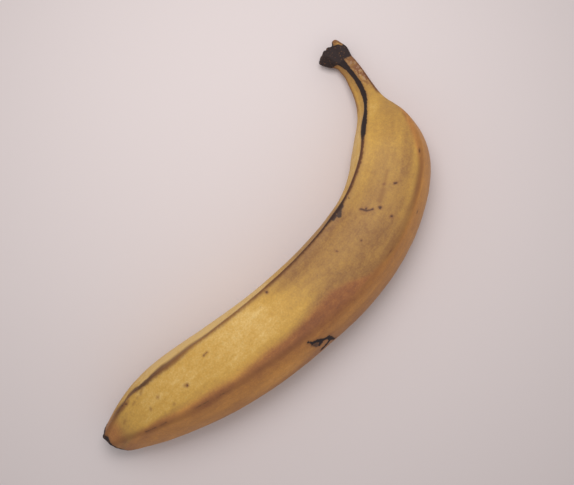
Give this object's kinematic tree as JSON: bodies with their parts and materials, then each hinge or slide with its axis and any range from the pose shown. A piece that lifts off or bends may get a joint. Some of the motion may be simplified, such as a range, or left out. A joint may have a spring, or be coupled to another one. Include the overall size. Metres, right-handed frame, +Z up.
{
  "type": "banana",
  "caption": "Ripe, bruised banana lying on its side: curved ridged peel, blunt blossom end, ribbed stem and torn black crown.",
  "frame": {"origin": "On the table, under the middle of the box round the fruit as it lies.", "axes": "+X runs along the chord of the curve from the blossom end to the stem, +Y towards the hollow side, +Z up."},
  "size_m": [0.1933, 0.0724, 0.0353],
  "materials": {
    "peel": "satin"
  },
  "bodies": {
    "root": {"banana": "peel"}
  },
  "joints": []
}
